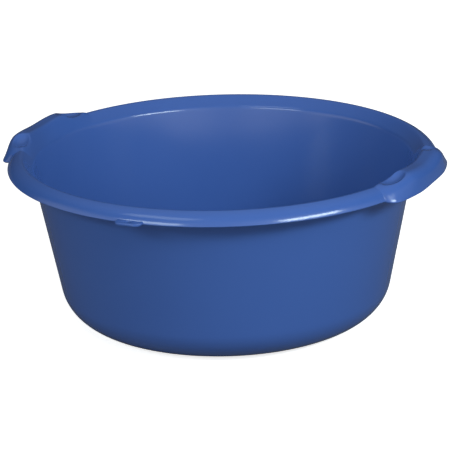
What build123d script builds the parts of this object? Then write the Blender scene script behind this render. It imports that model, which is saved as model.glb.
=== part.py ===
from build123d import *
from math import cos, radians, sin, tan
import os

# Washing up bowl: one thin plastic moulding, built as the zones that a mould maker would name.
# Millimetres, +Z up, standing on z = 0, grips on +X and -X, hanging tab on -Y.

# Driving sizes
wall = 2.0                  # wall thickness everywhere
rim_radius = 180.0          # lower edge of the plain rim
crest_height = 144.0        # top of the plain rim over the table
foot_height = 1.5           # standing ring under the floor
foot_inset = 2.4            # standing ring, inside the edge of the flat floor
foot_width = 4.0
heel_radius = 33.6          # outside radius of the turn from floor to side
joint_drop = 13.0           # level where the side ends and the rim zones begin, below the crest

# Section of the plain rim: insets count inward from the rim radius, drops down from the crest
bend_inset = 21.9           # crease between side and rim, inside of the bowl
bend_drop = 8.6
crest_inset = 11.8          # ridge line
ridge_lift = 0.65           # sharp ridge over the rounded crest
shoulder_inset = 2.8        # outer shoulder
shoulder_drop = 3.1
lip_drop = 9.9              # lower edge
bend_round = 3.0
crest_round = 4.0
shoulder_round = 14.5

# Section of the grips: steps count outward from the rim radius
grip_rise = 4.2             # top over the crest, in the middle of the grip
grip_swell = 1.4            # and as much more at the ends of the full section
grip_shoulder_step = 3.4
grip_edge_step = 6.2
edge_swell = 1.1            # added to that at the ends of the full section
grip_lip_drop = 1.2         # lower edge, below that of the plain rim
lip_swell = 0.4
grip_round = 9.0

# Thumb dishes
dish_ball = 11.0            # section radius across the rim
dish_reach = 17.5           # half length along the rim
dish_inset = 8.3            # centre line, inside the rim radius
dish_floor = 0.7            # deepest point, below the crest

# Hanging tab
tab_reach = 7.6             # outer end, past the rim radius
tab_sink = 1.5              # inner end, inside the wall of the rim
tab_width = 22.0
tab_thick = 2.2
tab_round = 5.5
tab_hole = 5.0
tab_hole_step = 2.7

# Mark of the mould's feed point
gate_radius = 3.0
gate_height = 0.7

# Angles in degrees and plain ratios
wall_draft = 11.0
hood_angle = 10.6           # half angle of the full section of a grip
grip_angle = 21.3           # half angle of a whole grip
dish_angle = 15.9
swell_power = 2.0
fall_power = 1.8
sink_power = 2.0
flare_power = 8.0
hood_shares = (-1.0, -0.5, 0.0, 0.5, 1.0)
loft_shares = (0.0, 0.14, 0.28, 0.42, 0.56, 0.7, 0.82, 0.92, 1.0)
heel_flats = 6              # straight steps in the turn from floor to side

# Derived sizes
lean = tan(radians(wall_draft))
bend_radius = rim_radius - bend_inset
crest_radius = rim_radius - crest_inset
shoulder_radius = rim_radius - shoulder_inset
grip_shoulder = rim_radius + grip_shoulder_step
dish_line = rim_radius - dish_inset
joint_height = crest_height - joint_drop
bend_height = crest_height - bend_drop
joint_inside = bend_radius - (joint_drop - bend_drop) * lean
floor_inside = foot_height + wall
corner_inside = bend_radius - (bend_height - floor_inside) * lean
inner_heel = heel_radius - wall
turn = radians(90 - wall_draft)
corner_run = inner_heel * tan(turn / 2)
flat_radius = corner_inside - corner_run
foot_radius = flat_radius - foot_inset
heel_top_inside = corner_inside + corner_run * sin(radians(wall_draft))
heel_top_height = floor_inside + corner_run * cos(radians(wall_draft))


def radial_plane(angle):
    """Upright plane through the bowl's axis, local x outward, local y up."""
    c, s = cos(radians(angle)), sin(radians(angle))
    return Plane(origin=(0, 0, 0), x_dir=(c, s, 0), z_dir=(s, -c, 0))


def blend(share, swell):
    """Corner points and shoulder rounding of the rim, from grip (0) to plain rim (1)."""
    top = crest_height + (grip_rise + grip_swell * swell) * (1 - share**fall_power)
    sink = share**sink_power
    push = 1 - share**flare_power
    crest = (crest_radius, top + ridge_lift * sink)
    shoulder = (
        grip_shoulder + (shoulder_radius - grip_shoulder) * share,
        top - shoulder_drop * sink,
    )
    edge = (
        rim_radius + (grip_edge_step + edge_swell * swell) * push,
        crest_height - lip_drop - (grip_lip_drop + lip_swell * swell) * push,
    )
    outer_round = grip_round + (shoulder_round - grip_round) * share
    return crest, shoulder, edge, outer_round


def rim_points(share, swell):
    """Visible side of the rim in straight steps: up the side, over the crest, down to the lip."""
    crest, shoulder, edge, outer_round = blend(share, swell)
    foot = (joint_inside, joint_height)
    with BuildLine() as rounded:
        path = Polyline(foot, (bend_radius, bend_height), crest, shoulder, edge)
        corners = path.vertices()
        fillet(corners[1], bend_round)
        fillet(corners[2], crest_round)
        fillet(corners[3], outer_round)
    arcs = rounded.edges().filter_by(GeomType.CIRCLE).sort_by(Axis.X)
    ends = [vertex.center() for vertex in rounded.vertices()]
    return sorted(ends + [arcs[-1] @ 0.5], key=lambda point: point.X)


def rim_band(angle, share, swell=1.0):
    """Section of the moulded rim, one wall thick and open below."""
    with BuildSketch(radial_plane(angle)) as section:
        with BuildLine():
            Polyline(rim_points(share, swell))
            offset(amount=wall, side=Side.RIGHT)
        make_face()
    return section.sketch


def rim_block(angle, share, inset):
    """The same outline, drawn in by an inset and filled down below the joint level."""
    low = joint_height - wall
    with BuildSketch(radial_plane(angle)) as section:
        with BuildLine():
            Polyline(rim_points(share, 1.0))
            skin_line = offset(amount=inset, side=Side.RIGHT, closed=False)
            root, tip = sorted((skin_line @ 0, skin_line @ 1), key=lambda end: end.X)
            Polyline(tip, (tip.X, low), (root.X, low), root)
        make_face()
    return section.sketch


# Floor: a plain disc, held off the table by the standing ring
with BuildPart() as floor_panel:
    with BuildSketch(Plane.XY.offset(foot_height)):
        Circle(flat_radius)
    extrude(amount=wall)
floor_panel.part.label = "floor_panel"

# Standing ring, the only part that touches the table
with BuildPart() as foot_ring:
    with BuildSketch(Plane.XY):
        Circle(foot_radius)
        Circle(foot_radius - foot_width, mode=Mode.SUBTRACT)
    extrude(amount=foot_height)
foot_ring.part.label = "foot_ring"

# Mark of the mould's feed point, under the middle of the floor and clear of the table
with BuildPart() as gate_mark:
    with BuildSketch(Plane.XY.offset(foot_height - gate_height)):
        Circle(gate_radius)
    extrude(amount=gate_height)
gate_mark.part.label = "gate_mark"

# Turn from floor to side, in straight steps between two arcs about one centre
with BuildPart() as base_corner:
    with BuildSketch(Plane.XZ):
        with BuildLine():
            centre = (flat_radius, floor_inside + inner_heel)
            inside = CenterArc(centre, inner_heel, -90, 90 - wall_draft, mode=Mode.PRIVATE)
            outside = CenterArc(centre, heel_radius, -90, 90 - wall_draft, mode=Mode.PRIVATE)
            steps = [step / heel_flats for step in range(heel_flats + 1)]
            back = [outside @ step for step in reversed(steps)]
            Polyline([inside @ step for step in steps] + back, close=True)
        make_face()
    revolve(axis=Axis.Z)
base_corner.part.label = "base_corner"

# Side, leaning outward so that it leaves the mould and nests
with BuildPart() as side_wall:
    with BuildSketch(Plane.XZ):
        with BuildLine():
            Line((heel_top_inside, heel_top_height), (joint_inside, joint_height))
            offset(amount=wall, side=Side.RIGHT)
        make_face()
    revolve(axis=Axis.Z)
side_wall.part.label = "side_wall"

# Plain rim, between the grips at the front and at the back
with BuildPart() as rim_front:
    add(rim_band(180 + grip_angle, 1))
    revolve(axis=Axis.Z, revolution_arc=180 - 2 * grip_angle)
rim_front.part.label = "rim_front"

with BuildPart() as rim_rear:
    add(rim_band(grip_angle, 1))
    revolve(axis=Axis.Z, revolution_arc=180 - 2 * grip_angle)
rim_rear.part.label = "rim_rear"

# Grips: the rim raised and pushed out into a hood for the fingers, a little lower in the middle
with BuildPart() as right_grip:
    for share in hood_shares:
        add(rim_band(hood_angle * share, 0, abs(share) ** swell_power))
    loft()
right_grip.part.label = "right_grip"

with BuildPart() as left_grip:
    add(mirror(right_grip.part, about=Plane.YZ))
left_grip.part.label = "left_grip"

# Thumb dish as a long round body with its long axis along the rim, and one wall larger
span = grip_angle - hood_angle
dish_section = radial_plane(dish_angle)
dish_centre = dish_section.from_local_coords(
    (dish_line, crest_height - dish_floor + dish_ball, 0)
)
dish_plane = Plane(origin=dish_centre, x_dir=dish_section.z_dir, z_dir=(0, 0, 1))
dish_axis = Axis(dish_centre, dish_section.z_dir)

with BuildPart() as dish_hollow:
    with BuildSketch(dish_plane):
        Ellipse(dish_reach, dish_ball)
        split(bisect_by=Plane.XZ)
    revolve(axis=dish_axis)

with BuildPart() as dish_outside:
    with BuildSketch(dish_plane):
        Ellipse(dish_reach + wall, dish_ball + wall)
        split(bisect_by=Plane.XZ)
    revolve(axis=dish_axis)

# Material under the dish, which starts half way into the wall of the grip's end
with BuildPart() as dish_backing:
    for share in loft_shares:
        add(rim_block(hood_angle + span * share, share, wall / 2))
    loft()
    add(dish_outside.part, mode=Mode.INTERSECT)

# Ends of the grips: each falls to the plain rim and holds a dish for the thumb
with BuildPart() as right_rear_thumb_rest:
    for share in loft_shares:
        add(rim_band(hood_angle + span * share, share))
    loft()
    add(dish_backing.part)
    add(dish_hollow.part, mode=Mode.SUBTRACT)

with BuildPart() as rear_thumb_rests:
    add(right_rear_thumb_rest.part)
    mirror(about=Plane.YZ)
rear_thumb_rests.part.label = "rear_thumb_rests"

with BuildPart() as front_thumb_rests:
    add(mirror(rear_thumb_rests.part, about=Plane.XZ))
front_thumb_rests.part.label = "front_thumb_rests"

# Ear under the front of the rim, with a hole to hang the bowl up by
with BuildPart() as hanging_tab:
    with BuildSketch(Plane.XY.offset(crest_height - lip_drop)):
        with Locations((0, tab_sink - rim_radius)):
            ear = Rectangle(tab_width, tab_sink + tab_reach, align=(Align.CENTER, Align.MAX))
        fillet(ear.vertices().group_by(Axis.Y)[0], tab_round)
        with Locations((0, -rim_radius - tab_hole_step)):
            Circle(tab_hole / 2, mode=Mode.SUBTRACT)
    extrude(amount=tab_thick)
    add(rim_front.part, mode=Mode.SUBTRACT)
hanging_tab.part.label = "hanging_tab"

os.makedirs("parts", exist_ok=True)
export_step(floor_panel.part, "parts/floor_panel.step")
export_step(foot_ring.part, "parts/foot_ring.step")
export_step(gate_mark.part, "parts/gate_mark.step")
export_step(base_corner.part, "parts/base_corner.step")
export_step(side_wall.part, "parts/side_wall.step")
export_step(rim_front.part, "parts/rim_front.step")
export_step(rim_rear.part, "parts/rim_rear.step")
export_step(right_grip.part, "parts/right_grip.step")
export_step(left_grip.part, "parts/left_grip.step")
export_step(rear_thumb_rests.part, "parts/rear_thumb_rests.step")
export_step(front_thumb_rests.part, "parts/front_thumb_rests.step")
export_step(hanging_tab.part, "parts/hanging_tab.step")
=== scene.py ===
import math

import bpy
import numpy as np
from mathutils import Matrix, Vector


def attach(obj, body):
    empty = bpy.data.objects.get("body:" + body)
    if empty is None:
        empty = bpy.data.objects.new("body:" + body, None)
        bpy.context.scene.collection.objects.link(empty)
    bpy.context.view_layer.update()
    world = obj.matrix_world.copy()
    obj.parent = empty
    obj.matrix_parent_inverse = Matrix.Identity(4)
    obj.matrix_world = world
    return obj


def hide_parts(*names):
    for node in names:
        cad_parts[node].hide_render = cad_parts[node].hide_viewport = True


# Washing up bowl in blue plastic: one smooth skin per zone of the moulding.
# Lengths of the bowl are millimetres and turn into metres when a mesh is made.

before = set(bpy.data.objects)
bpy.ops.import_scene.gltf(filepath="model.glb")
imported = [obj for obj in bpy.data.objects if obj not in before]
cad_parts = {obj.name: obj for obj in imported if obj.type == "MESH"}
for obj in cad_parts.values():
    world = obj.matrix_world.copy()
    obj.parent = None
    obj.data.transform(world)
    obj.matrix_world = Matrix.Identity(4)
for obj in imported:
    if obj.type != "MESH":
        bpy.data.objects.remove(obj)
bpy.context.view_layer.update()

MM = 0.001

# Section of the bowl
WALL = 2.0
RIM = 180.0                     # radius of the plain rim's lower edge
CREST = 144.0                   # height of the plain rim
FLOOR_TOP, FLOOR_UNDER = 3.5, 1.5
FLOOR_RADIUS = 106.412
HEEL_CENTRE = (FLOOR_RADIUS, 35.1)
HEEL_RADIUS = 31.6              # inside radius of the turn from floor to side
HEEL_TURN = math.radians(79.0)
DRAFT = math.radians(11.0)
SIDE_LOW = (137.431, 29.07)     # inside of the side, at its two ends
SIDE_HIGH = (157.245, 131.0)
BEND = (158.1, 135.4)           # corner where the side turns out into the rim
CREST_LINE = RIM - 11.8         # radius of the rim's ridge
LIP_HEIGHT = CREST - 9.9        # height of the plain rim's lower edge
BEND_ROUND, CREST_ROUND, SHOULDER_ROUND, GRIP_ROUND = 6.0, 4.0, 14.5, 9.0
LIP_ROUND = 0.7

# Grips: the hood is a little lower and narrower in its middle
HOOD, GRIP = 10.6, 21.3         # half angles of the hood and of the whole grip, degrees
GRIP_RISE, GRIP_SWELL = 4.2, 1.4
GRIP_EDGE, EDGE_SWELL = 6.2, 1.1
LIP_SINK, LIP_SWELL = 1.2, 0.4
SHOULDER_IN, SHOULDER_OUT = RIM - 2.8, RIM + 3.4

# How the grip passes into the plain rim
RISE_POWER, REACH_POWER, SHOULDER_POWER = 1.8, 8, 1.5
RIDGE_LIFT, SHOULDER_DROP = 0.65, 3.1
OUTER_SAG, SAG_END = 0.8, 0.9   # depth of the outer border's sag, and the share where it ends

# Thumb dishes
DISH_ANGLE, DISH_LINE, DISH_HEIGHT = 15.9, RIM - 8.3, CREST + 10.3
DISH_LONG, DISH_BALL = 17.5, 11.0
DISH_SOFT = 1.6
NO_DISH = 1e3

# Standing ring
RING_IN, RING_OUT, RING_ROUND = 100.012, 104.012, 0.6

# Mark of the mould's feed point, as radius and height: a low disc with a nub in a shallow groove
GATE = [
    (0.15, 0.75), (0.5, 0.76), (0.75, 0.85), (0.9, 0.98), (1.2, 1.0), (1.5, 0.95), (1.8, 0.83),
    (2.1, 0.8), (2.6, 0.8), (2.8, 0.83), (2.93, 0.92), (3.0, 1.1), (3.0, FLOOR_UNDER),
]

# Hanging tab
TAB_HALF, TAB_OUT, TAB_IN, TAB_CORNER = 11.0, 187.6, 178.3, 5.5
TAB_LOW, TAB_HIGH = LIP_HEIGHT, LIP_HEIGHT + 2.2
TAB_ROUND = 0.7
HOLE_Y, HOLE_RADIUS, HOLE_ROUND = 182.7, 2.5, 0.5

# Fineness of the meshes
ARC_STEPS = (5, 8, 14)          # faces in the rim's bend, crest and shoulder
FLAT_STEPS = (2, 6, 10)         # faces ahead of each of them
EDGE_STEPS, LIP_STEPS = 3, 4
SIDE_STEPS, HEEL_STEPS, RING_STEPS = 8, 28, 6
TAB_STEPS, HOLE_STEPS = 5, 4
FLOOR_RINGS = [4.0, 20.0, 40.0, 60.0, 80.0, 95.0, FLOOR_RADIUS]
TINY = 1e-12


def ring_angles():
    """Angles round the bowl, closer together where the grips change shape."""
    quick_fall = 20.2           # from here the grip draws in fast
    quarter = np.concatenate([
        np.linspace(0, HOOD, 12),
        np.linspace(HOOD, quick_fall, 33)[1:],
        np.linspace(quick_fall, GRIP, 10)[1:],
        [21.4, 21.65, 22.1, 22.8, 23.8],
        np.linspace(25, 90, 47),
    ])
    back = quarter[::-1]
    return np.concatenate([quarter[:-1], 180 - back[:-1], 180 + quarter[:-1], 360 - back[:-1]])


ANGLES = ring_angles()
FOLDED = np.minimum(ANGLES % 180, 180 - ANGLES % 180)   # angle from the nearer grip's middle


def share_of(folded):
    """0 on the hood, 1 on the plain rim."""
    return np.clip((folded - HOOD) / (GRIP - HOOD), 0, 1)


def swell_of(folded):
    """0 in the middle of the hood, 1 at its ends, level at both."""
    return np.sin(np.clip(folded / HOOD, 0, 1) * math.pi / 2) ** 2


def unit(v):
    return v / np.linalg.norm(v)


def quarter_circle(x, y, radius, start, steps):
    """Points of a quarter circle round (x, y), anticlockwise from a start angle."""
    angles = [start + math.pi / 2 * k / steps for k in range(steps + 1)]
    return [(x + radius * math.cos(a), y + radius * math.sin(a)) for a in angles]


def edge_rounding(level, down, radius, steps):
    """Insets and heights of a rounded edge, from the upright side to the flat face at a level.
    down is 1 where that face looks up and -1 where it looks down."""
    angles = [k / steps * math.pi / 2 for k in range(steps + 1)]
    return [(radius * (1 - math.cos(a)), level - down * radius * (1 - math.sin(a))) for a in angles]


def fillet(before, corner, after, radius, steps):
    """Points and left-hand normals of the rounding at a corner that turns right."""
    d1, d2 = unit(corner - before), unit(after - corner)
    turn = math.acos(float(np.clip(d1 @ d2, -1, 1)))
    start = corner - d1 * radius * math.tan(turn / 2)
    centre = start + radius * np.array([d1[1], -d1[0]])
    nx, ny = -d1[1], d1[0]
    points, normals = [], []
    for k in range(steps + 1):
        a = turn * k / steps
        n = np.array([nx * math.cos(a) + ny * math.sin(a), ny * math.cos(a) - nx * math.sin(a)])
        points.append(centre + radius * n)
        normals.append(n)
    return points, normals


def rim_section(share, swell):
    """Closed loop of the rim's section, and the number of its points on the seen side.
    It runs up the inside, over the top, round the lip and back underneath."""
    rise = (GRIP_RISE + GRIP_SWELL * swell) * (1 - share**RISE_POWER)
    outer_rise = rise - OUTER_SAG * math.sin(math.pi * min(share / SAG_END, 1)) ** 2
    sink = share * share
    push = 1 - share**REACH_POWER
    hold = share**SHOULDER_POWER
    foot, bend = np.array(SIDE_HIGH), np.array(BEND)
    crest = np.array([CREST_LINE, CREST + rise + RIDGE_LIFT * sink])
    shoulder = np.array([
        SHOULDER_OUT + (SHOULDER_IN - SHOULDER_OUT) * hold,
        CREST + outer_rise - SHOULDER_DROP * sink,
    ])
    edge = np.array([
        RIM + (GRIP_EDGE + EDGE_SWELL * swell) * push,
        LIP_HEIGHT - (LIP_SINK + LIP_SWELL * swell) * push,
    ])
    corners = [foot, bend, crest, shoulder, edge]
    rounds = (BEND_ROUND, CREST_ROUND, GRIP_ROUND + (SHOULDER_ROUND - GRIP_ROUND) * share)
    arcs = [fillet(*corners[k:k + 3], rounds[k], ARC_STEPS[k]) for k in range(3)]
    points, normals = [foot], [arcs[0][1][0]]
    for (arc, arc_normals), flat_steps in zip(arcs, FLAT_STEPS):
        for k in range(1, flat_steps):
            points.append(points[-1] + (arc[0] - points[-1]) / (flat_steps - k + 1))
            normals.append(arc_normals[0])
        points += arc
        normals += arc_normals

    start = points[-1]
    down = unit(edge - start)
    side = np.array([-down[1], down[0]])
    for k in range(1, EDGE_STEPS + 1):
        points.append(start + (edge - down * LIP_ROUND - start) * k / EDGE_STEPS)
        normals.append(side)
    outer_lip, inner_lip = [], []
    for k in range(1, LIP_STEPS + 1):
        a = math.pi / 2 * k / LIP_STEPS
        outward = side * math.cos(a) + down * math.sin(a)
        inward = -side * math.cos(a) + down * math.sin(a)
        outer_lip.append(edge - down * LIP_ROUND - side * LIP_ROUND + outward * LIP_ROUND)
        inner_lip.append(edge - down * LIP_ROUND - side * (WALL - LIP_ROUND) + inward * LIP_ROUND)
    hidden = [p - WALL * n for p, n in zip(points, normals)]
    return np.array(points + outer_lip + inner_lip[::-1] + hidden[::-1]), len(points)


def soft_min(a, b, soft):
    """The lower of two heights, blended where they differ by less than soft."""
    h = np.maximum(soft - np.abs(a - b), 0) / soft
    return np.minimum(a, b) - h * h * soft / 4


def dish_surface(x, y, grow):
    """Height of the round bottom of the nearest thumb dish, or NO_DISH where there is none."""
    middle = math.radians(DISH_ANGLE)
    across, long = DISH_BALL + grow, DISH_LONG + grow
    out = np.abs(x) * math.cos(middle) + np.abs(y) * math.sin(middle) - DISH_LINE
    along = np.abs(y) * math.cos(middle) - np.abs(x) * math.sin(middle)
    inside = 1 - (along / long) ** 2 - (out / across) ** 2
    return np.where(inside > 0, DISH_HEIGHT - across * np.sqrt(np.maximum(inside, 0)), NO_DISH)


def tangents(points, axis, closed):
    """Directions along one axis of a grid of points, exact to second order."""
    p = np.moveaxis(points, axis, 0)
    if closed:
        ahead, behind = np.roll(p, -1, 0) - p, p - np.roll(p, 1, 0)
    else:
        step = np.diff(p, axis=0)
        ahead = np.concatenate([step, step[-1:]])
        behind = np.concatenate([step[:1], step])
    la = np.linalg.norm(ahead, axis=-1, keepdims=True) + TINY
    lb = np.linalg.norm(behind, axis=-1, keepdims=True) + TINY
    t = (ahead / la * lb + behind / lb * la) / (la + lb)
    t = t / (np.linalg.norm(t, axis=-1, keepdims=True) + TINY)
    return np.moveaxis(t, 0, axis)


def grid_normals(points, rows_closed, columns_closed):
    """Smooth normals of a grid of points."""
    n = np.cross(tangents(points, 0, rows_closed), tangents(points, 1, columns_closed))
    return n / (np.linalg.norm(n, axis=-1, keepdims=True) + TINY)


def around(profile, angles=ANGLES):
    """Turns a list of (radius, height) round the bowl's axis into a grid: rows by angles.
    A list of directions in the section turns into their normals in the same way."""
    profile = np.asarray(profile, float)
    a = np.radians(angles)
    grid = np.empty((len(profile), len(a), 3))
    grid[..., 0] = profile[:, :1] * np.cos(a)
    grid[..., 1] = profile[:, :1] * np.sin(a)
    grid[..., 2] = profile[:, 1:2]
    return grid


def skin(name, points, normals, flat=(), closed_columns=True, closed_rows=True, ends=()):
    """Mesh of a grid of rows and columns. Rows in flat start a strip with its own flat shading.
    Where the columns are open, quads across the wall close both ends.
    ends are the rows closed by one face, as (row, upward)."""
    rows, columns = points.shape[:2]
    faces, loop_normals = [], []
    row_pairs = [(r, (r + 1) % rows) for r in range(rows if closed_rows else rows - 1)]
    column_pairs = [(c, (c + 1) % columns) for c in range(columns if closed_columns else columns - 1)]

    def flat_normal(ids):
        q = points.reshape(-1, 3)[list(ids)]
        n = np.zeros(3)
        for k in range(len(q)):
            n += np.cross(q[k], q[(k + 1) % len(q)])
        return unit(n)

    for r, s in row_pairs:
        for c, d in column_pairs:
            ids = (r * columns + c, s * columns + c, s * columns + d, r * columns + d)
            faces.append(ids)
            if r in flat:
                loop_normals += [flat_normal(ids)] * 4
            else:
                loop_normals += [normals[r, c], normals[s, c], normals[s, d], normals[r, d]]
    if not closed_columns:
        for k in range(rows // 2 - 1):
            a, b, c, d = k, k + 1, rows - 2 - k, rows - 1 - k
            for column, order in ((columns - 1, (a, b, c, d)), (0, (d, c, b, a))):
                ids = tuple(r * columns + column for r in order)
                faces.append(ids)
                loop_normals += [flat_normal(ids)] * 4
    for row, upward in ends:
        ids = [row * columns + c for c in range(columns)]
        faces.append(tuple(ids if upward else ids[::-1]))
        loop_normals += [np.array([0, 0, 1.0 if upward else -1.0])] * columns

    mesh = bpy.data.meshes.new(name)
    mesh.from_pydata([tuple(p) for p in points.reshape(-1, 3) * MM], [], faces)
    mesh.polygons.foreach_set("use_smooth", [True] * len(faces))
    mesh.normals_split_custom_set([tuple(n) for n in loop_normals])
    mesh.update()
    piece = bpy.data.objects.new(name, mesh)
    bpy.context.scene.collection.objects.link(piece)
    return piece


def join(name, pieces):
    """One object from separate closed skins."""
    with bpy.context.temp_override(active_object=pieces[0], selected_editable_objects=pieces):
        bpy.ops.object.join()
    pieces[0].name = name
    pieces[0].data.name = name
    return pieces[0]


# The whole rim as one grid, so that the zones cut from it meet without a seam
sections = [rim_section(a, b)[0] for a, b in zip(share_of(FOLDED), swell_of(FOLDED))]
seen_rows = rim_section(1.0, 1.0)[1]
rim_grid = np.empty((len(sections[0]), len(ANGLES), 3))
for column, (section, angle) in enumerate(zip(sections, np.radians(ANGLES))):
    rim_grid[:, column, 0] = section[:, 0] * math.cos(angle)
    rim_grid[:, column, 1] = section[:, 0] * math.sin(angle)
    rim_grid[:, column, 2] = section[:, 1]
for rows, grow in ((slice(0, seen_rows), 0.0), (slice(-seen_rows, None), WALL)):
    x, y, z = (rim_grid[rows, :, k] for k in range(3))
    rim_grid[rows, :, 2] = soft_min(z, dish_surface(x, y, grow), DISH_SOFT)
rim_normals = grid_normals(rim_grid, False, True)


def rim_zone(name, start, stop):
    """The stretch of the rim from one angle to the next, closed at both ends."""
    first = int(np.argmin(np.abs(ANGLES - start % 360)))
    last = int(np.argmin(np.abs(ANGLES - stop % 360)))
    count = (last - first) % len(ANGLES)
    columns = [(first + k) % len(ANGLES) for k in range(count + 1)]
    last_row = rim_grid.shape[0] - 1
    return skin(
        name, rim_grid[:, columns], rim_normals[:, columns], flat=(last_row,), closed_columns=False,
    )


right_grip = rim_zone("moulded_right_grip", -HOOD, HOOD)
left_grip = rim_zone("moulded_left_grip", 180 - HOOD, 180 + HOOD)
rear_rim = rim_zone("moulded_rear_rim", GRIP, 180 - GRIP)
front_rim = rim_zone("moulded_front_rim", 180 + GRIP, -GRIP)
rear_rests = join("moulded_rear_thumb_rests", [
    rim_zone("rear_right", HOOD, GRIP),
    rim_zone("rear_left", 180 - GRIP, 180 - HOOD),
])
front_rests = join("moulded_front_thumb_rests", [
    rim_zone("front_left", 180 + HOOD, 180 + GRIP),
    rim_zone("front_right", -GRIP, -HOOD),
])

# Side
side_normal = np.array([-math.cos(DRAFT), math.sin(DRAFT)])
side_low, side_high = np.array(SIDE_LOW), np.array(SIDE_HIGH)
inner = [side_low + (side_high - side_low) * k / SIDE_STEPS for k in range(SIDE_STEPS + 1)]
outer = [p - WALL * side_normal for p in inner[::-1]]
side = skin(
    "moulded_side",
    around(inner + outer),
    around([side_normal] * len(inner) + [-side_normal] * len(outer)),
    flat=(SIDE_STEPS, 2 * SIDE_STEPS + 1),
)

# Turn from floor to side
turns = [-math.pi / 2 + HEEL_TURN * k / HEEL_STEPS for k in range(HEEL_STEPS + 1)]
directions = [np.array([math.cos(a), math.sin(a)]) for a in turns]
centre = np.array(HEEL_CENTRE)
inner = [centre + HEEL_RADIUS * d for d in directions]
outer = [centre + (HEEL_RADIUS + WALL) * d for d in directions[::-1]]
corner = skin(
    "moulded_corner",
    around(inner + outer),
    around([-d for d in directions] + directions[::-1]),
    flat=(HEEL_STEPS, 2 * HEEL_STEPS + 1),
)

# Floor: rows run outward on top and back underneath
upper = [(r, FLOOR_TOP) for r in FLOOR_RINGS]
under = [(r, FLOOR_UNDER) for r in FLOOR_RINGS[::-1]]
moulded_floor = skin(
    "moulded_floor",
    around(upper + under),
    around([(0.0, 1.0)] * len(upper) + [(0.0, -1.0)] * len(under)),
    flat=(len(upper) - 1,),
    closed_rows=False,
    ends=((0, True), (len(upper + under) - 1, False)),
)

# Standing ring with rounded lower edges
ring = [(RING_IN, FLOOR_UNDER)]
ring += quarter_circle(RING_IN + RING_ROUND, RING_ROUND, RING_ROUND, math.pi, RING_STEPS)
ring += quarter_circle(RING_OUT - RING_ROUND, RING_ROUND, RING_ROUND, 1.5 * math.pi, RING_STEPS)
ring.append((RING_OUT, FLOOR_UNDER))
ring = around(ring[::-1])
foot = skin("moulded_foot_ring", ring, grid_normals(ring, False, True), flat=(len(ring) - 1,))

# Mark of the mould's feed point
gate_grid = around(GATE[::-1], np.arange(0, 360, 7.5))
gate_mark = skin(
    "moulded_gate_mark", gate_grid, grid_normals(gate_grid, False, True), closed_rows=False,
    ends=((0, True), (len(GATE) - 1, False)),
)


# Hanging tab: a flat ear with a round hole and rounded edges

def ear_radius(x, y, inset):
    """Distance from the hole's centre to the ear's outline, drawn in by an inset."""
    tiny, far = 1e-9, 1e9
    half, out = TAB_HALF - inset, TAB_OUT - HOLE_Y - inset
    into, corner_round = HOLE_Y - TAB_IN - inset, TAB_CORNER - inset
    dx, dy = abs(x), -y         # dy counts outward from the bowl
    best = min(
        half / dx if dx > tiny else far,
        out / dy if dy > tiny else far,
        into / -dy if dy < -tiny else far,
    )
    cx, cy = half - corner_round, out - corner_round
    if dx * best > cx and dy * best > cy:
        b = dx * cx + dy * cy
        best = b + math.sqrt(max(b * b - (cx * cx + cy * cy - corner_round**2), 0))
    return best


def tab_ring(reach, z):
    """One ring of points round the hole; reach is the distance in a direction."""
    angles = np.radians(np.arange(0, 360, 2.5))
    ways = [(math.cos(a), math.sin(a)) for a in angles]
    return [(x * reach(x, y), -HOLE_Y + y * reach(x, y), z) for x, y in ways]


outline = edge_rounding(TAB_HIGH, 1, TAB_ROUND, TAB_STEPS)[::-1]
outline += edge_rounding(TAB_LOW, -1, TAB_ROUND, TAB_STEPS)
hole = edge_rounding(TAB_LOW, -1, HOLE_ROUND, HOLE_STEPS)[::-1]
hole += edge_rounding(TAB_HIGH, 1, HOLE_ROUND, HOLE_STEPS)
rows = [tab_ring(lambda x, y: ear_radius(x, y, inset), z) for inset, z in outline]
rows += [tab_ring(lambda x, y: HOLE_RADIUS + inset, z) for inset, z in hole]
tab_grid = np.array(rows)
tab = skin("moulded_tab", tab_grid, grid_normals(tab_grid, True, True))


# Materials

PALE_BLUE, DEEP_BLUE = (0.044, 0.103, 0.340, 1), (0.040, 0.096, 0.322, 1)
CLOUDS, GRAIN, PORES = 14.0, 420.0, 2600.0      # noise scales, per metre
PLAIN_WHITE, WHITE_PAPER, DIM_PAPER = (1, 1, 1, 1), (0.8, 0.8, 0.8, 1), (0.2, 0.2, 0.2, 1)
PAPER_GLOW = 0.78


def node(tree, kind, inputs=(), **settings):
    """New node with its settings and inputs; an input is a value or another node's output."""
    made = tree.nodes.new(kind)
    for key, value in settings.items():
        setattr(made, key, value)
    for key, value in dict(inputs).items():
        if isinstance(value, bpy.types.NodeSocket):
            tree.links.new(value, made.inputs[key])
        else:
            made.inputs[key].default_value = value
    return made


def empty_tree(owner):
    """Node tree of a new material or world, without its first nodes."""
    owner.use_nodes = True
    owner.node_tree.nodes.clear()
    return owner.node_tree


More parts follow.
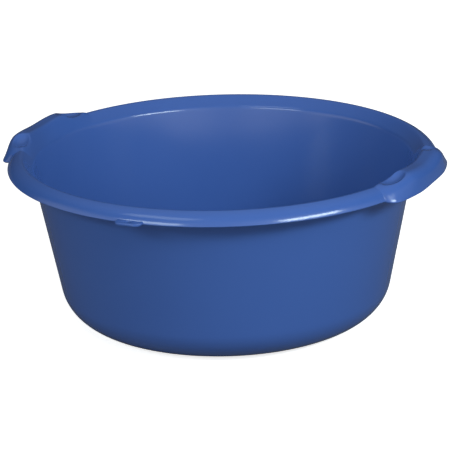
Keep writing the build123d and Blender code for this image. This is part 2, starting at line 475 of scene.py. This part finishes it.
def plastic():
    """Blue polypropylene as moulded: even colour, satin gloss, faint flow and handling marks."""
    material = bpy.data.materials.new("blue_polypropylene")
    tree = empty_tree(material)
    place = node(tree, "ShaderNodeTexCoord").outputs["Object"]
    cloud = node(tree, "ShaderNodeTexNoise", {
        "Vector": place, "Scale": CLOUDS, "Detail": 3.0, "Roughness": 0.5,
    })
    grain = node(tree, "ShaderNodeTexNoise", {
        "Vector": place, "Scale": GRAIN, "Detail": 2.0, "Roughness": 0.5,
    })
    fine = node(tree, "ShaderNodeTexNoise", {"Vector": place, "Scale": PORES, "Detail": 1.0})
    colour = node(tree, "ShaderNodeMix", {"Factor": cloud.outputs["Fac"]}, data_type="RGBA")
    colour.inputs["A"].default_value = DEEP_BLUE
    colour.inputs["B"].default_value = PALE_BLUE
    gloss = node(tree, "ShaderNodeMapRange", {
        "Value": cloud.outputs["Fac"],
        "From Min": 0.1, "From Max": 0.9, "To Min": 0.13, "To Max": 0.18,
    })
    ripple = node(tree, "ShaderNodeBump", {
        "Height": grain.outputs["Fac"], "Strength": 0.25, "Distance": 0.00008,
    })
    pores = node(tree, "ShaderNodeBump", {
        "Height": fine.outputs["Fac"], "Strength": 0.2, "Distance": 0.00002,
        "Normal": ripple.outputs["Normal"],
    })
    shader = node(tree, "ShaderNodeBsdfPrincipled", {
        "Base Color": colour.outputs["Result"],
        "Roughness": gloss.outputs["Result"],
        "IOR": 1.45,
        "Normal": pores.outputs["Normal"],
    })
    node(tree, "ShaderNodeOutputMaterial", {"Surface": shader.outputs["BSDF"]})
    return material


def table_paper():
    """White to the camera where no shadow falls, dim to other rays, and clear from below."""
    material = bpy.data.materials.new("white_paper")
    tree = empty_tree(material)
    rays = node(tree, "ShaderNodeLightPath")
    facing = node(tree, "ShaderNodeNewGeometry")
    diffuse = node(tree, "ShaderNodeBsdfDiffuse", {"Color": WHITE_PAPER})
    dim = node(tree, "ShaderNodeBsdfDiffuse", {"Color": DIM_PAPER})
    glow = node(tree, "ShaderNodeEmission", {"Color": PLAIN_WHITE, "Strength": PAPER_GLOW})
    lit = node(tree, "ShaderNodeAddShader", {0: diffuse.outputs[0], 1: glow.outputs[0]})
    seen = node(tree, "ShaderNodeMixShader", {
        0: rays.outputs["Is Camera Ray"], 1: dim.outputs[0], 2: lit.outputs[0],
    })
    clear = node(tree, "ShaderNodeBsdfTransparent")
    sided = node(tree, "ShaderNodeMixShader", {
        0: facing.outputs["Backfacing"], 1: seen.outputs[0], 2: clear.outputs[0],
    })
    node(tree, "ShaderNodeOutputMaterial", {"Surface": sided.outputs[0]})
    return material


blue = plastic()
STANDS_FOR = {
    "floor_panel": moulded_floor,
    "foot_ring": foot,
    "gate_mark": gate_mark,
    "base_corner": corner,
    "side_wall": side,
    "rim_front": front_rim,
    "rim_rear": rear_rim,
    "right_grip": right_grip,
    "left_grip": left_grip,
    "front_thumb_rests": front_rests,
    "rear_thumb_rests": rear_rests,
    "hanging_tab": tab,
}
for cad_node, piece in STANDS_FOR.items():
    piece.data.materials.clear()
    piece.data.materials.append(blue)
    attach(piece, "root")
    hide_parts(cad_node)

# Table: a wide pale sheet just under the bowl, in metres
SHEET_HALF, SHEET_SINK = 6.0, 0.0002
sheet_corners = [
    (-SHEET_HALF, -SHEET_HALF, 0), (SHEET_HALF, -SHEET_HALF, 0),
    (SHEET_HALF, SHEET_HALF, 0), (-SHEET_HALF, SHEET_HALF, 0),
]
sheet_mesh = bpy.data.meshes.new("table_sheet")
sheet_mesh.from_pydata(sheet_corners, [], [(0, 1, 2, 3)])
table_sheet = bpy.data.objects.new("table_sheet", sheet_mesh)
bpy.context.scene.collection.objects.link(table_sheet)
table_sheet.location.z = -SHEET_SINK
table_sheet.data.materials.append(table_paper())

# World: white to the camera. Everything else sees a dark room with soft patches of light, most of
# them low and in front, and one overhead. Each is (azimuth from +X, elevation, edge, strength).
SKY_PATCHES = (
    (-150, 4, 0.8, 1.10),
    (-108, 4, 0.7, 0.75),
    (-66, 8, 0.5, 0.70),
    (-24, 6, 0.6, 0.95),
    (18, 4, 0.8, 0.30),
    (0, 90, 0.5, 0.38),
    (114, 40, 0.5, 0.08),
)


def direction_of(azimuth, elevation):
    """Direction with these angles, in degrees; azimuth counts from +X."""
    a, e = math.radians(azimuth), math.radians(elevation)
    return math.cos(a) * math.cos(e), math.sin(a) * math.cos(e), math.sin(e)


def sky_patch(tree, way, azimuth, elevation, edge, strength):
    """Brightness of a soft patch of light round one direction; edge is the cosine where it ends."""
    nearness = node(tree, "ShaderNodeVectorMath", {
        0: way, 1: direction_of(azimuth, elevation),
    }, operation="DOT_PRODUCT")
    return node(tree, "ShaderNodeMapRange", {
        "Value": nearness.outputs["Value"],
        "From Min": edge, "From Max": 1.0, "To Min": 0.0, "To Max": strength,
    }, interpolation_type="SMOOTHSTEP").outputs["Result"]


world = bpy.data.worlds.new("studio")
bpy.context.scene.world = world
sky = empty_tree(world)
rays = node(sky, "ShaderNodeLightPath")
sky_way = node(sky, "ShaderNodeTexCoord").outputs["Generated"]
patches = [sky_patch(sky, sky_way, *patch) for patch in SKY_PATCHES]
level = 0.0
for patch in patches:
    level = node(sky, "ShaderNodeMath", {0: patch, 1: level}, operation="ADD").outputs["Value"]
ambient = node(sky, "ShaderNodeBackground", {"Color": PLAIN_WHITE, "Strength": level})
white = node(sky, "ShaderNodeBackground", {"Color": PLAIN_WHITE, "Strength": 1.0})
mixed = node(sky, "ShaderNodeMixShader", {
    0: rays.outputs["Is Camera Ray"], 1: ambient.outputs[0], 2: white.outputs[0],
})
node(sky, "ShaderNodeOutputWorld", {"Surface": mixed.outputs[0]})

# Lamps, as name, azimuth, elevation, height of the lit face and power; they face the bowl
LAMP_AIM = Vector((0, 0, 0.12))
LAMP_DISTANCE, LAMP_WIDTH = 1.4, 0.7
LAMP_TINT = (0.86, 1.0, 1.0)
SOFTBOXES = (
    ("key_softbox", -21.0, 27.0, 0.22, 12.0),
    ("second_softbox", -104.0, 27.0, 0.20, 4.0),
    ("high_softbox", -112.0, 58.0, 0.30, 1.6),
)
for name, azimuth, elevation, tall, power in SOFTBOXES:
    light = bpy.data.lights.new(name, "AREA")
    light.shape = "RECTANGLE"
    light.size, light.size_y, light.energy = LAMP_WIDTH, tall, power
    light.color = LAMP_TINT
    lamp = bpy.data.objects.new(name, light)
    back = Vector(direction_of(azimuth, elevation))
    lamp.location = LAMP_AIM + back * LAMP_DISTANCE
    lamp.rotation_euler = back.to_track_quat("Z", "Y").to_euler()
    lamp.visible_camera = False
    bpy.context.scene.collection.objects.link(lamp)

# Camera at the photograph's place. It looks down at the middle of the rim, is then panned,
# tilted and rolled a little, and stands round the bowl by the last angle.
DISTANCE = 1.98
LOOK_DOWN, PAN, TILT, ROLL, TURN = (
    math.radians(a) for a in (16.542, 0.030, -1.892, -1.587, 24.01)
)
FOCAL_PIXELS, PHOTO_PIXELS, SENSOR = 2370.0, 452, 36.0


def turned(u, v, angle):
    """Two directions at right angles, turned in their plane."""
    return u * math.cos(angle) + v * math.sin(angle), v * math.cos(angle) - u * math.sin(angle)


back = Vector((0, -DISTANCE * math.cos(LOOK_DOWN), DISTANCE * math.sin(LOOK_DOWN)))
ahead = -back.normalized()
right = Vector((1, 0, 0))
up = right.cross(ahead)
ahead, right = turned(ahead, right, PAN)
ahead, up = turned(ahead, up, TILT)
right, up = turned(right, up, ROLL)
lens = bpy.data.cameras.new("photo_camera")
lens.sensor_width = SENSOR
lens.lens = FOCAL_PIXELS * SENSOR / PHOTO_PIXELS
camera = bpy.data.objects.new("photo_camera", lens)
axes = Matrix((right, up, -ahead)).transposed().to_4x4()
camera.matrix_world = (
    Matrix.Translation((0, 0, CREST * MM))
    @ Matrix.Rotation(TURN, 4, "Z")
    @ Matrix.Translation(back)
    @ axes
)
bpy.context.scene.collection.objects.link(camera)
bpy.context.scene.camera = camera

bpy.context.scene.view_settings.view_transform = "Standard"
